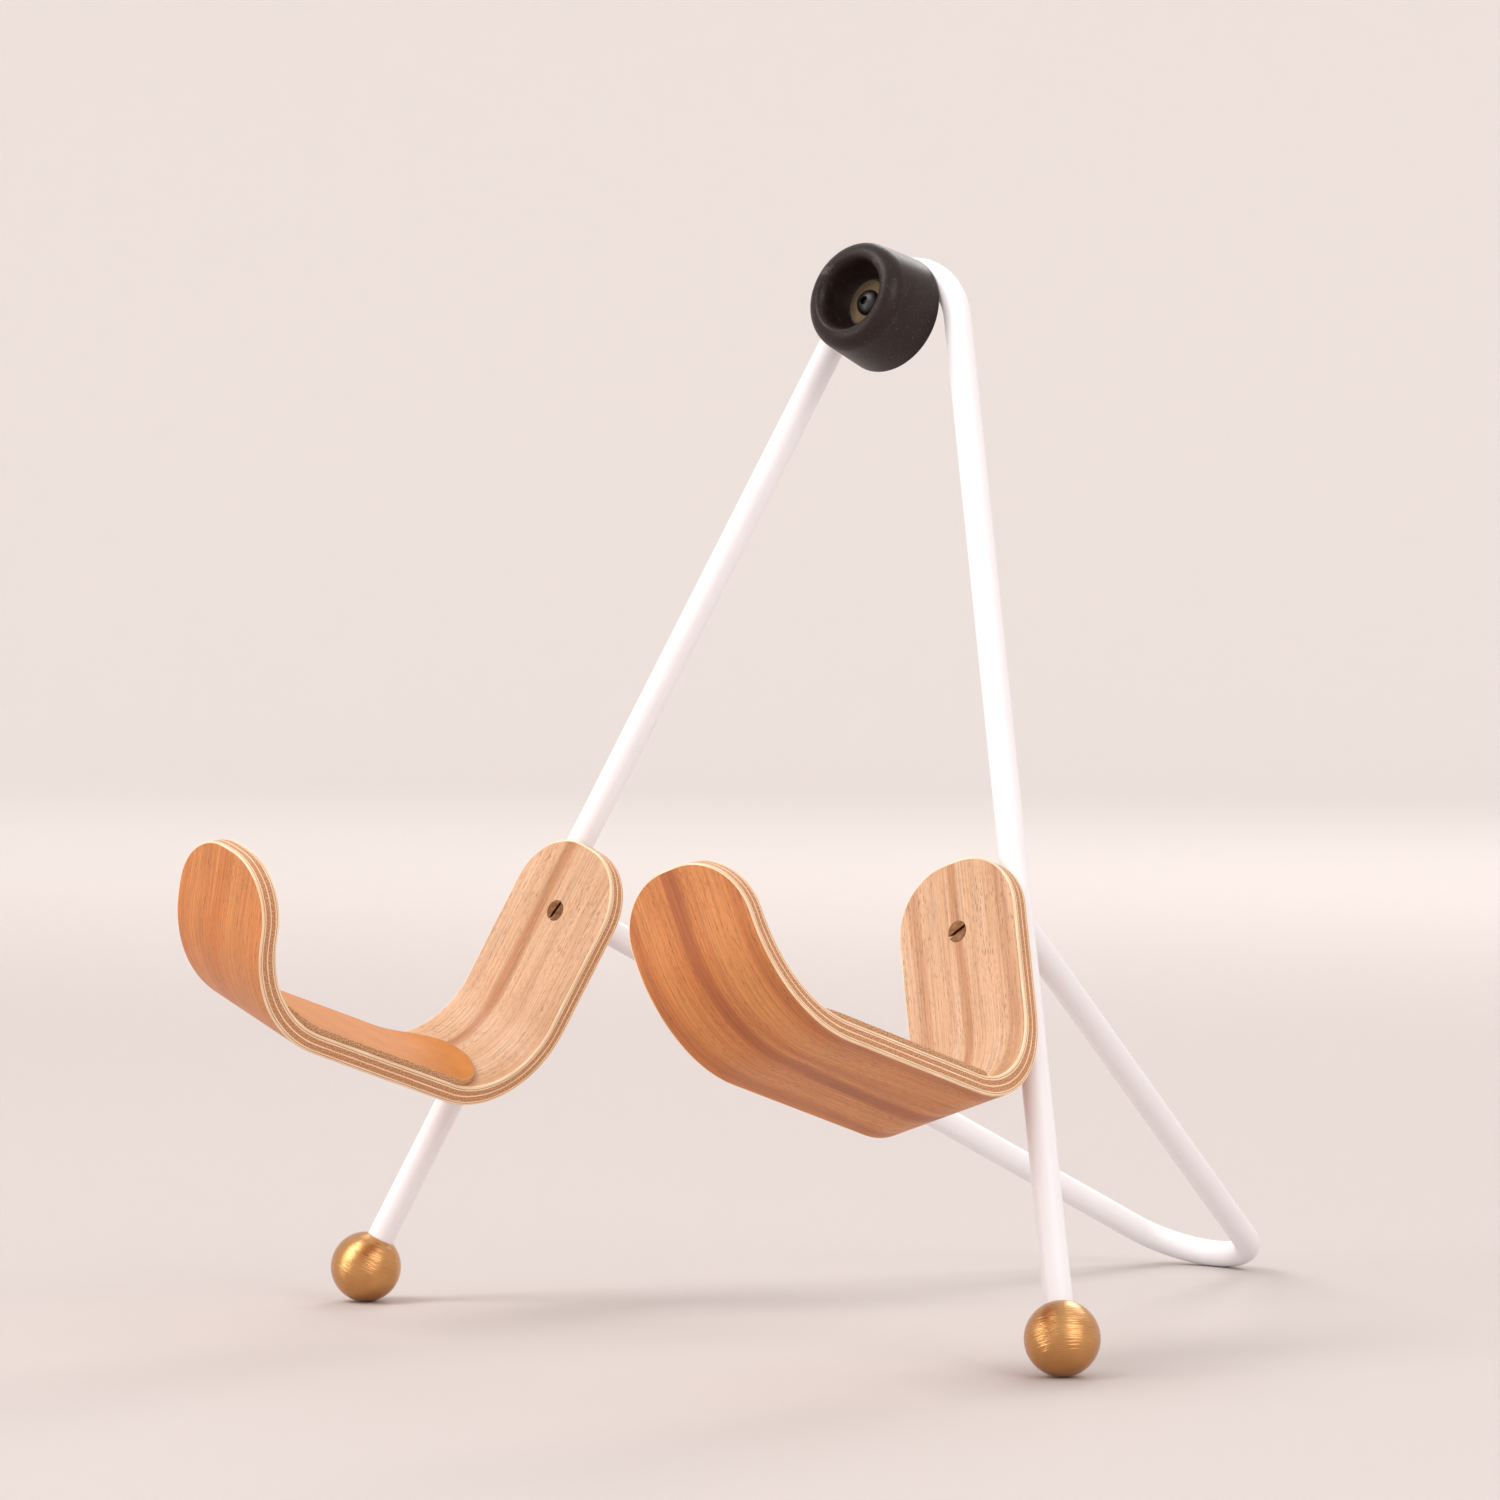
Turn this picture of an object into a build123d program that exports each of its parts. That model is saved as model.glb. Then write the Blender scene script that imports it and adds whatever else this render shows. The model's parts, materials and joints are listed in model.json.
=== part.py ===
"""Free-standing guitar stand: bent rod frame, two bent plywood cradles, rubber bumper, brass ball feet.

Millimetres, +Z up. The front is towards -Y, and +X is on the right of someone who stands in front
and looks at it. The origin is on the floor, in the middle of the stand's width and depth.
"""
import os
from math import asin, atan2, cos, degrees, hypot, radians, sin, sqrt, tan

from build123d import *

# Rod frame
rod_diameter = 9.7            # 3/8 in steel bar with its powder coat
ball_diameter = 25.4          # brass ball feet
foot_spacing = 322.0          # between the ball centres
apex_height = 420.0           # where the two leg centre lines would meet, above the floor
apex_setback = 129.5          # and how far that point lies behind the feet
arch_radius = 28.0            # centre line of the bend at the top
rear_reach = 294.5            # from the feet line back to the rear leg's resting point
rear_bend_radius = 27.0       # centre line of the bend that rests on the floor
arm_joint_distance = 149.4    # from a ball's centre up the leg to the rear arm's centre line
weld_leg = 2.4                # height of the ground weld collars
weld_collar_length = 3.8      # how far a collar runs down the rear arm from the leg's surface

# Foot studs
stud_diameter = 5.0
stud_length = 16.0
thread_clearance = 0.05       # radial gap between modelled threads, which are plain cylinders

# Cradles, strips of bent plywood, each profile running down the leg and then forward
ply_thickness = 7.0
strip_width = 49.2
strip_corner_radius = 22.0
back_plate_rise = 25.5        # from the screw up to the top of the back plate
back_plate_drop = 36.5        # from the screw down to the start of the rear bend
rear_bend_outer_radius = 38.0
cradle_floor_length = 68.5    # straight stretch between the two bends
front_bend_outer_radius = 50.0
front_bend_angle = 66.0       # the lip leans outwards by what this lacks of a right angle
lip_length = 25.0
pivot_distance = 148.0        # from a ball's centre up the leg to the cradle screw
pivot_offset = 16.8           # from the leg's centre line in to the cradle screw
swivel_clearance = 0.05       # cradle to the washer, the screw shank and the screw head

# Pads on the cradle floors
pad_thickness = 2.2
pad_reach = 22.0              # how far a pad climbs into each bend, seen along the leg
pad_side_margin = 0.4
glue_line = 0.05

# Cradle fasteners
tab_thickness = 4.0
tab_width = 18.0
tab_hole_clearance = 0.15     # radial, about the cradle screw
tab_weld_size = 2.6
cradle_washer_thickness = 1.2
cradle_washer_diameter = 14.0
cradle_screw_diameter = 4.0
cradle_screw_length = 18.0
cradle_screw_head_diameter = 7.6
screw_head_rim = 0.25         # straight rim above the head's cone
screw_point_chamfer = 0.5
countersink_overrun = 1.0     # how far the countersinking cut stands out of the face
slot_width = 1.1
slot_depth = 1.2
slot_angles = {"left": 79.0, "right": 18.0}   # where each slot happened to stop, from across the leg
lock_nut_across_flats = 7.0
lock_nut_height = 5.0
lock_nut_collar_height = 1.7
lock_nut_collar_diameter = 6.4

# Bumper
bumper_back_diameter = 43.0
bumper_front_diameter = 40.4  # where the front rim's rounding starts
bumper_length = 25.3
bumper_above_bend = 9.7       # from the centre of the arch's bend up the frame to the bumper's axis
bumper_rim_depth = 6.5        # how far back the front rim's rounding starts
bumper_crest_radius = 14.8    # foremost circle of the front rim
bumper_throat_radius = 12.0
bumper_throat_depth = 6.0     # from the rim's crest back to the throat
bumper_recess_radius = 9.4    # at the bottom of the recess
bumper_recess_depth = 12.8
bumper_back_edge_radius = 1.0
bumper_seat_gap = 0.05
bumper_washer_diameter = 16.5
bumper_washer_thickness = 1.2
bumper_screw_diameter = 5.0
bumper_screw_length = 25.0
bumper_screw_head_diameter = 9.5
bumper_screw_head_height = 2.75
bumper_screw_socket = 3.0     # across flats
bumper_screw_socket_depth = 1.6
bumper_hole_clearance = 0.25
bumper_tab_width = 24.0
bumper_tab_gap = 0.02         # tab's edge to the rod's surface
bumper_tab_weld_size = 1.6
bumper_nut_across_flats = 8.0
bumper_nut_height = 4.0

# Worked out from the driving sizes
rod_radius = rod_diameter / 2
ball_radius = ball_diameter / 2
half_spacing = foot_spacing / 2
apex_rise = apex_height - ball_radius
apex_up = hypot(apex_rise, apex_setback)          # apex above the feet line, in the frame's own plane
lean = atan2(apex_setback, apex_rise)
leg_length = hypot(half_spacing, apex_up)
leg_tilt = atan2(half_spacing, apex_up)
rod_end_gap = sqrt(ball_radius**2 - rod_radius**2)   # the rod's flat end meets the ball's surface here
plate_back = rod_radius + cradle_washer_thickness + swivel_clearance
plate_front = plate_back + ply_thickness

# The deepest forward point is the outer top edge of a lip, and the rear bend is furthest back
lip_angle = radians(front_bend_angle)
floor_front = plate_back + rear_bend_outer_radius + cradle_floor_length
lip_tip_out = floor_front + front_bend_outer_radius * sin(lip_angle) + lip_length * cos(lip_angle)
floor_drop = back_plate_drop + rear_bend_outer_radius
lip_tip_up = front_bend_outer_radius * (1 - cos(lip_angle)) + lip_length * sin(lip_angle) - floor_drop
pivot_setback = (pivot_distance * cos(leg_tilt) - pivot_offset * sin(leg_tilt)) * sin(lean)
front_extent = lip_tip_out * cos(lean) - lip_tip_up * cos(leg_tilt) * sin(lean) - pivot_setback
rear_extent = rear_reach + rod_radius
feet_y = (front_extent - rear_extent) / 2

# The frame's own plane: x across, y up the frame, z out of its front
frame_normal = Vector(0, -cos(lean), sin(lean))
frame_plane = Plane(origin=(0, feet_y, ball_radius), x_dir=(1, 0, 0), z_dir=frame_normal)
sides = {"left": -1, "right": 1}


def leg_direction(side):
    """Unit vector up one leg, from its ball towards the apex."""
    return (frame_plane.y_dir * cos(leg_tilt) - frame_plane.x_dir * side * sin(leg_tilt)).normalized()


def leg_point(side, distance):
    """Point on a leg's centre line, a distance up from the ball's centre."""
    ball_centre = frame_plane.origin + frame_plane.x_dir * side * half_spacing
    return ball_centre + leg_direction(side) * distance


def across(side):
    """Unit vector in the frame's plane, square to a leg, towards +X."""
    return leg_direction(side).cross(frame_normal)


def pivot_plane(side):
    """Plane at a cradle screw: x across the leg towards +X, y up the leg, z forward."""
    pivot = leg_point(side, pivot_distance) - across(side) * side * pivot_offset
    return Plane(origin=pivot, x_dir=across(side), z_dir=frame_normal)


def section_plane(plane):
    """Plane through another plane's normal, for profiles turned about it: x is kept, y is the normal."""
    return Plane(origin=plane.origin, x_dir=plane.x_dir, z_dir=plane.x_dir.cross(plane.z_dir))


def strip_corners(depth):
    """Corners of a cradle's profile, a depth in from its outer face: forward, then up the leg."""
    floor_level = depth - floor_drop
    reach = (front_bend_outer_radius - depth) * tan(lip_angle / 2)
    run = reach + lip_length
    return [
        (plate_back + depth, back_plate_rise),
        (plate_back + depth, floor_level),
        (floor_front + reach, floor_level),
        (floor_front + reach + run * cos(lip_angle), floor_level + run * sin(lip_angle)),
    ]


def strip_radii(depth):
    """Radii of the two bends, a depth in from a cradle's outer face."""
    return [rear_bend_outer_radius - depth, front_bend_outer_radius - depth]


def finish(piece, name):
    """Label a piece and write it."""
    piece.part.label = name
    export_step(piece.part, f"parts/{name}.step")


os.makedirs("parts", exist_ok=True)

# Front frame: one rod, up one leg, over the arch and down the other
rod_ends = [frame_plane.to_local_coords(leg_point(side, rod_end_gap)) for side in (-1, 1)]
stud_hole_radius = stud_diameter / 2 + thread_clearance

with BuildPart() as front_frame:
    with BuildLine(frame_plane):
        FilletPolyline(
            (rod_ends[0].X, rod_ends[0].Y),
            (0, apex_up),
            (rod_ends[1].X, rod_ends[1].Y),
            radius=arch_radius,
        )
    with BuildSketch(Plane(origin=leg_point(-1, rod_end_gap), z_dir=leg_direction(-1))):
        Circle(rod_radius)
    sweep()
    for side in sides.values():
        with BuildSketch(Plane(origin=leg_point(side, rod_end_gap), z_dir=leg_direction(side))):
            Circle(stud_hole_radius)
        extrude(amount=stud_length / 2 + thread_clearance, mode=Mode.SUBTRACT)
finish(front_frame, "front_frame")

# Rear leg: a second rod, from the back of one leg down to the floor bend and up to the other leg
arm_tops = [leg_point(side, arm_joint_distance) for side in (-1, 1)]
arm_middle = (arm_tops[0] + arm_tops[1]) * 0.5
rest_point = Vector(0, feet_y + rear_reach, rod_radius)
rear_run = rest_point - arm_middle
bend_centre_distance = rear_run.length - rear_bend_radius
half_arm_spacing = arm_tops[1].X
bend_sight_line = hypot(half_arm_spacing, bend_centre_distance)
rear_half_angle = atan2(half_arm_spacing, bend_centre_distance) - asin(rear_bend_radius / bend_sight_line)
rear_apex_distance = bend_centre_distance + rear_bend_radius / sin(rear_half_angle)
rear_apex = arm_middle + rear_run.normalized() * rear_apex_distance

with BuildPart() as rear_leg:
    with BuildLine():
        FilletPolyline(arm_tops[0], rear_apex, arm_tops[1], radius=rear_bend_radius)
    with BuildSketch(Plane(origin=arm_tops[0], z_dir=rear_apex - arm_tops[0])):
        Circle(rod_radius)
    sweep()
    for side in sides.values():
        with BuildSketch(Plane(origin=leg_point(side, 0), z_dir=leg_direction(side))):
            Circle(rod_radius)
        extrude(amount=leg_length, mode=Mode.SUBTRACT)
    with BuildSketch(frame_plane):
        Rectangle(2 * foot_spacing, 2 * apex_up)
    extrude(amount=rod_diameter, mode=Mode.SUBTRACT)
finish(rear_leg, "rear_leg")

# Levels along a cradle screw, measured forward from the frame's plane
tab_back = rod_radius - tab_thickness
cradle_screw_radius = cradle_screw_diameter / 2
screw_head_radius = cradle_screw_head_diameter / 2
screw_cone_start = plate_front - screw_head_rim - screw_head_radius + cradle_screw_radius
screw_tip = plate_front - cradle_screw_length
screw_hole_radius = cradle_screw_radius + swivel_clearance
tab_hole_radius = cradle_screw_radius + tab_hole_clearance
countersink_radius = screw_head_radius + swivel_clearance
countersink_top = plate_front + countersink_overrun
tab_bead_offset = sqrt(rod_radius**2 - tab_back**2)
collar_reach = rod_radius + weld_collar_length
lock_nut_collar_start = tab_back - lock_nut_height + lock_nut_collar_height
pad_depth = ply_thickness + glue_line
pad_plan_length = cradle_floor_length + 2 * pad_reach

for name, side in sides.items():
    leg_start = leg_point(side, 0)
    leg_plane = Plane(origin=leg_start, z_dir=leg_direction(side))
    arm_start = leg_point(side, arm_joint_distance)
    arm_plane = Plane(origin=arm_start, z_dir=rear_apex - arm_start)
    pivot = pivot_plane(side)
    pivot_axis = Axis(pivot.origin, pivot.z_dir)

    # Brass ball with a flat for the rod's end and a tapped hole for the stud
    with BuildPart() as foot_ball:
        with BuildSketch(section_plane(leg_plane)):
            Circle(ball_radius)
            with Locations((-ball_radius, 0)):
                Rectangle(ball_diameter, 2 * ball_diameter, mode=Mode.SUBTRACT)
            with Locations((0, rod_end_gap + ball_radius)):
                Rectangle(2 * ball_diameter, ball_diameter, mode=Mode.SUBTRACT)
        revolve(axis=Axis(leg_start, leg_direction(side)))
        with BuildSketch(leg_plane.offset(rod_end_gap)):
            Circle(stud_hole_radius)
        extrude(amount=-stud_length / 2 - thread_clearance, mode=Mode.SUBTRACT)
    finish(foot_ball, f"{name}_foot_ball")

    # Stud, half in the ball and half in the rod
    with BuildPart() as foot_stud:
        with BuildSketch(leg_plane.offset(rod_end_gap - stud_length / 2)):
            Circle(stud_diameter / 2)
        extrude(amount=stud_length)
        chamfer(foot_stud.edges(), stud_diameter / 10)
    finish(foot_stud, f"{name}_foot_stud")

    # Steel tab on the inner side of the leg, with a round end about the cradle screw
    with BuildPart() as cradle_tab:
        with BuildSketch(pivot.offset(tab_back)):
            Circle(tab_width / 2)
            with Locations((side * pivot_offset / 2, 0)):
                Rectangle(pivot_offset, tab_width)
            Circle(tab_hole_radius, mode=Mode.SUBTRACT)
        extrude(amount=tab_thickness)
        with BuildSketch(leg_plane):
            Circle(rod_radius)
        extrude(amount=leg_length, mode=Mode.SUBTRACT)
    finish(cradle_tab, f"{name}_cradle_tab")

    # Weld metal: a collar that thins out down the rear arm, and a bead behind the tab
    with BuildPart() as leg_weld:
        with BuildSketch(arm_plane):
            Circle(rod_radius + weld_leg)
        extrude(amount=collar_reach, taper=degrees(atan2(weld_leg, collar_reach)))
        tab_foot = leg_point(side, pivot_distance - tab_width / 2) + frame_normal * tab_back
        tab_bead_start = tab_foot - across(side) * side * tab_bead_offset
        with BuildSketch(Plane(origin=tab_bead_start, z_dir=leg_direction(side))):
            Circle(tab_weld_size)
        extrude(amount=tab_width)
        with BuildSketch(arm_plane):
            Circle(rod_radius)
        extrude(amount=leg_length, mode=Mode.SUBTRACT)
        with BuildSketch(leg_plane):
            Circle(rod_radius)
        extrude(amount=leg_length, mode=Mode.SUBTRACT)
        with BuildSketch(pivot.offset(tab_back)):
            Rectangle(4 * pivot_offset, 4 * tab_width)
        extrude(amount=leg_length, mode=Mode.SUBTRACT)
    finish(leg_weld, f"{name}_leg_weld")

    # Fibre washer that the cradle turns on
    with BuildPart() as cradle_washer:
        with BuildSketch(pivot.offset(rod_radius)):
            Circle(cradle_washer_diameter / 2)
            Circle(tab_hole_radius, mode=Mode.SUBTRACT)
        extrude(amount=cradle_washer_thickness)
    finish(cradle_washer, f"{name}_cradle_washer")

    # Slotted countersunk screw, its head flush with the back plate
    with BuildPart() as cradle_screw:
        with BuildSketch(section_plane(pivot)):
            with BuildLine():
                Polyline(
                    (0, screw_tip),
                    (cradle_screw_radius - screw_point_chamfer, screw_tip),
                    (cradle_screw_radius, screw_tip + screw_point_chamfer),
                    (cradle_screw_radius, screw_cone_start),
                    (screw_head_radius, plate_front - screw_head_rim),
                    (screw_head_radius, plate_front),
                    (0, plate_front),
                    close=True,
                )
            make_face()
        revolve(axis=pivot_axis)
        with BuildSketch(pivot.offset(plate_front)):
            Rectangle(cradle_screw_head_diameter, slot_width, rotation=slot_angles[name])
        extrude(amount=-slot_depth, mode=Mode.SUBTRACT)
    finish(cradle_screw, f"{name}_cradle_screw")

    # Nylon-insert lock nut behind the tab
    with BuildPart() as lock_nut:
        with BuildSketch(pivot.offset(tab_back)):
            RegularPolygon(lock_nut_across_flats / 2, 6, major_radius=False)
        extrude(amount=lock_nut_collar_height - lock_nut_height)
        with BuildSketch(pivot.offset(lock_nut_collar_start)):
            Circle(lock_nut_collar_diameter / 2)
        extrude(amount=-lock_nut_collar_height)
        with BuildSketch(pivot.offset(tab_back)):
            Circle(cradle_screw_radius + thread_clearance)
        extrude(amount=-lock_nut_height, mode=Mode.SUBTRACT)
    finish(lock_nut, f"{name}_lock_nut")

    # Cradle: one bent strip with round-cornered ends, countersunk for its screw
    profile = Plane(origin=pivot.origin, x_dir=frame_normal, z_dir=pivot.x_dir * -1)
    outer = strip_corners(0)
    inner = strip_corners(ply_thickness)
    with BuildPart() as cradle:
        with BuildSketch(profile):
            with BuildLine():
                FilletPolyline(*outer, radius=strip_radii(0))
                FilletPolyline(*inner, radius=strip_radii(ply_thickness))
                Line(outer[0], inner[0])
                Line(outer[-1], inner[-1])
            make_face()
        extrude(amount=strip_width / 2, both=True)
        strip_corner_edges = cradle.edges().filter_by(GeomType.LINE).group_by(SortBy.LENGTH)[0]
        fillet(strip_corner_edges, strip_corner_radius)
        with BuildSketch(section_plane(pivot)):
            with BuildLine():
                Polyline(
                    (0, 0),
                    (screw_hole_radius, 0),
                    (screw_hole_radius, screw_cone_start),
                    (countersink_radius, plate_front - screw_head_rim),
                    (countersink_radius, countersink_top),
                    (0, countersink_top),
                    close=True,
                )
            make_face()
        revolve(axis=pivot_axis, mode=Mode.SUBTRACT)
    finish(cradle, f"{name}_cradle")

    # Pad glued along the cradle's floor and a little way up both bends
    pad_bottom = strip_corners(pad_depth)
    pad_top = strip_corners(pad_depth + pad_thickness)
    with BuildPart() as cradle_pad:
        with BuildSketch(profile):
            with BuildLine():
                FilletPolyline(*pad_bottom, radius=strip_radii(pad_depth))
                FilletPolyline(*pad_top, radius=strip_radii(pad_depth + pad_thickness))
                Line(pad_bottom[0], pad_top[0])
                Line(pad_bottom[-1], pad_top[-1])
            make_face()
        extrude(amount=strip_width / 2 - pad_side_margin, both=True)
        plan = Plane(origin=pivot.origin, x_dir=frame_normal, z_dir=pivot.y_dir)
        with BuildSketch(plan.offset(-floor_drop)):
            with Locations((floor_front - cradle_floor_length / 2, 0)):
                RectangleRounded(pad_plan_length, strip_width, strip_corner_radius)
        extrude(amount=floor_drop, mode=Mode.INTERSECT)
    finish(cradle_pad, f"{name}_cradle_pad")

# Tab that carries the bumper, welded inside the top of the arch
arch_centre = apex_up - arch_radius / sin(leg_tilt)   # up the frame from the feet line
bumper_centre = frame_plane.from_local_coords((0, arch_centre + bumper_above_bend, 0))
bumper_plane = Plane(origin=bumper_centre, x_dir=(1, 0, 0), z_dir=frame_normal)
bumper_axis = Axis(bumper_plane.origin, frame_normal)
bumper_tab_back = rod_radius - tab_thickness
bumper_screw_radius = bumper_screw_diameter / 2
tab_reach = arch_radius - sqrt(rod_radius**2 - bumper_tab_back**2)   # its back edge meets the rod
hole_radius = bumper_screw_radius + bumper_hole_clearance

with BuildPart() as bumper_tab:
    with BuildSketch(bumper_plane.offset(bumper_tab_back)):
        Circle(bumper_tab_width / 2)
        with Locations((0, arch_radius / 2)):
            Rectangle(bumper_tab_width, arch_radius)
        with Locations((0, -bumper_above_bend)):
            Circle(tab_reach - bumper_tab_gap, mode=Mode.INTERSECT)
        Circle(hole_radius, mode=Mode.SUBTRACT)
    extrude(amount=tab_thickness)
finish(bumper_tab, "bumper_tab")

# Weld bead behind the tab's curved top edge
arch_centre_point = frame_plane.from_local_coords((0, arch_centre, 0))
bead_half_angle = degrees(asin(bumper_tab_width / 2 / tab_reach))
bead_start = frame_plane.x_dir.rotate(Axis((0, 0, 0), frame_normal), 90 - bead_half_angle)
bead_plane = Plane(origin=arch_centre_point, x_dir=bead_start, z_dir=bead_start.cross(frame_normal))

with BuildPart() as bumper_tab_weld:
    with BuildSketch(bead_plane):
        with Locations((tab_reach, bumper_tab_back)):
            Circle(bumper_tab_weld_size)
    revolve(axis=Axis(arch_centre_point, frame_normal), revolution_arc=2 * bead_half_angle)
    with BuildSketch(bumper_plane.offset(bumper_tab_back)):
        Circle(2 * arch_radius)
    extrude(amount=tab_thickness, mode=Mode.SUBTRACT)
    add(front_frame.part, mode=Mode.SUBTRACT)
finish(bumper_tab_weld, "bumper_tab_weld")

# Hex nut welded behind the tab
with BuildPart() as bumper_nut:
    with BuildSketch(bumper_plane.offset(bumper_tab_back)):
        RegularPolygon(bumper_nut_across_flats / 2, 6, major_radius=False)
        Circle(bumper_screw_radius + thread_clearance, mode=Mode.SUBTRACT)
    extrude(amount=-bumper_nut_height)
finish(bumper_nut, "bumper_nut")

# Rubber bumper: a tapered, thick-rimmed cup with a deep recess for its screw
bumper_back = rod_radius + bumper_seat_gap
bumper_front = bumper_back + bumper_length
bumper_back_radius = bumper_back_diameter / 2
bumper_front_radius = bumper_front_diameter / 2
recess_floor = bumper_front - bumper_recess_depth
with BuildPart() as bumper:
    with BuildSketch(section_plane(bumper_plane)):
        with BuildLine():
            Polyline(
                (bumper_throat_radius, bumper_front - bumper_throat_depth),
                (bumper_recess_radius, recess_floor),
                (hole_radius, recess_floor),
                (hole_radius, bumper_back),
                (bumper_back_radius, bumper_back),
                (bumper_front_radius, bumper_front - bumper_rim_depth),
            )
            EllipticalCenterArc(
                (bumper_crest_radius, bumper_front - bumper_rim_depth),
                bumper_front_radius - bumper_crest_radius,
                bumper_rim_depth,
                start_angle=0,
                arc_size=90,
            )
            EllipticalCenterArc(
                (bumper_crest_radius, bumper_front - bumper_throat_depth),
                bumper_crest_radius - bumper_throat_radius,
                bumper_throat_depth,
                start_angle=90,
                arc_size=90,
            )
        make_face()
    revolve(axis=bumper_axis)
    back_edge = bumper.edges().filter_by(GeomType.CIRCLE).group_by(SortBy.RADIUS)[-1].sort_by(bumper_axis)[0]
    fillet(back_edge, bumper_back_edge_radius)
finish(bumper, "bumper")

# Wide washer at the bottom of the recess
washer_front = recess_floor + bumper_washer_thickness
with BuildPart() as bumper_washer:
    with BuildSketch(bumper_plane.offset(recess_floor)):
        Circle(bumper_washer_diameter / 2)
        Circle(hole_radius, mode=Mode.SUBTRACT)
    extrude(amount=bumper_washer_thickness)
finish(bumper_washer, "bumper_washer")

# Button-head socket screw
bumper_screw_tip = washer_front - bumper_screw_length
with BuildPart() as bumper_screw:
    with BuildSketch(section_plane(bumper_plane)):
        with BuildLine():
            Polyline(
                (0, washer_front + bumper_screw_head_height),
                (0, bumper_screw_tip),
                (bumper_screw_radius, bumper_screw_tip),
                (bumper_screw_radius, washer_front),
                (bumper_screw_head_diameter / 2, washer_front),
            )
            EllipticalCenterArc(
                (0, washer_front),
                bumper_screw_head_diameter / 2,
                bumper_screw_head_height,
                start_angle=0,
                arc_size=90,
            )
        make_face()
    revolve(axis=bumper_axis)
    with BuildSketch(bumper_plane.offset(washer_front + bumper_screw_head_height)):
        RegularPolygon(bumper_screw_socket / 2, 6, major_radius=False)
    extrude(amount=-bumper_screw_socket_depth, mode=Mode.SUBTRACT)
finish(bumper_screw, "bumper_screw")
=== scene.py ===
import json
import math

import bmesh
import bpy
from mathutils import Matrix, Vector


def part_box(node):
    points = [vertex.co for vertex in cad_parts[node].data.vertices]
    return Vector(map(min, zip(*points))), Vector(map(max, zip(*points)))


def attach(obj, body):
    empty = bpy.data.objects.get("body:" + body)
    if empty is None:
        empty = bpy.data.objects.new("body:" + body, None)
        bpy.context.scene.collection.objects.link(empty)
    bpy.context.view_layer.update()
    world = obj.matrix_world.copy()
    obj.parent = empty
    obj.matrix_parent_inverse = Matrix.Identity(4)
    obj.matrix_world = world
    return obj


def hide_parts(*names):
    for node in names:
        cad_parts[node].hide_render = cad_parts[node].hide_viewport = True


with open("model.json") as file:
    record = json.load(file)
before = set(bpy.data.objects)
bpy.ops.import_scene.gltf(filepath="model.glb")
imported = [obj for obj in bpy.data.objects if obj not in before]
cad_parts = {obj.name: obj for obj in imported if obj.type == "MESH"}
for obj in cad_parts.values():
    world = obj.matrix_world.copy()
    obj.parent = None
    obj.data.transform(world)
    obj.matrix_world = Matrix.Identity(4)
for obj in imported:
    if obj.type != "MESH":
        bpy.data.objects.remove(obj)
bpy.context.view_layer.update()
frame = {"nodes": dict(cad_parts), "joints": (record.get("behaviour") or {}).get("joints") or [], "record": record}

mm = 0.001
sides = {"left": -1, "right": 1}

# where things are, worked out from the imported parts
stand = dict(
    rodRadius=4.85 * mm,
    archRadius=28.0 * mm,        # bend at the top of the front frame
    rearBendRadius=27.0 * mm,    # bend that rests on the floor
    screwUpLeg=148.0 * mm,       # from a ball's centre up the leg to the cradle's screw
    screwInset=16.8 * mm,        # and from the leg's centre line in to it
    armUpLeg=149.4 * mm,         # where the rear leg's arms meet the front legs
    bumperFront=30.2 * mm,       # from the frame's plane to the foremost point of the bumper
)
swivels = {joint["child"]: joint for joint in frame["joints"]}
frontNormal = Vector(swivels["left_rest"]["axis"]).normalized()
sideways = Vector((1, 0, 0))
frameUp = frontNormal.cross(sideways)


def middleOf(node):
    low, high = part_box(node)
    return (low + high) / 2


ballCentre = {name: middleOf(f"{name}_foot_ball") for name in sides}
ballRadius = ballCentre["right"].z
feetMiddle = (ballCentre["left"] + ballCentre["right"]) / 2
halfFeet = ballCentre["right"].x - feetMiddle.x
insetTurn = math.atan2(stand["screwInset"], stand["screwUpLeg"])


def axesAt(origin, x, y, z):
    return Matrix.Translation(origin) @ Matrix((x, y, z)).transposed().to_4x4()


# at each cradle's screw: x across the leg, y up the leg, z out of the frame's front
pivotAxes = {}
for name, side in sides.items():
    pivot = Vector(swivels[f"{name}_rest"]["pos_m"])
    legUp = Matrix.Rotation(-side * insetTurn, 3, frontNormal) @ (pivot - ballCentre[name]).normalized()
    pivotAxes[name] = axesAt(pivot, legUp.cross(frontNormal), legUp, frontNormal)


def legUpOf(name):
    return pivotAxes[name].col[1].to_3d()


def legPoint(name, distance):
    return ballCentre[name] + legUpOf(name) * distance


apex = legPoint("right", -halfFeet / legUpOf("right").x)
bumperRest = next(mount for mount in frame["record"]["mounts"] if mount["name"] == "bumper_rest")
bumperAxes = axesAt(Vector(bumperRest["pos_m"]) - frontNormal * stand["bumperFront"],
                    sideways, frameUp, frontNormal)


# mesh helpers
def addPiece(name, mesh, materials, body, replaced=(), sharpAngle=None):
    for material in materials:
        mesh.materials.append(material)
    mesh.shade_smooth()
    if sharpAngle:
        mesh.set_sharp_from_angle(angle=math.radians(sharpAngle))
    piece = bpy.data.objects.new(name, mesh)
    bpy.context.scene.collection.objects.link(piece)
    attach(piece, body)
    if replaced:
        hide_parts(*replaced)
    return piece


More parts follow.
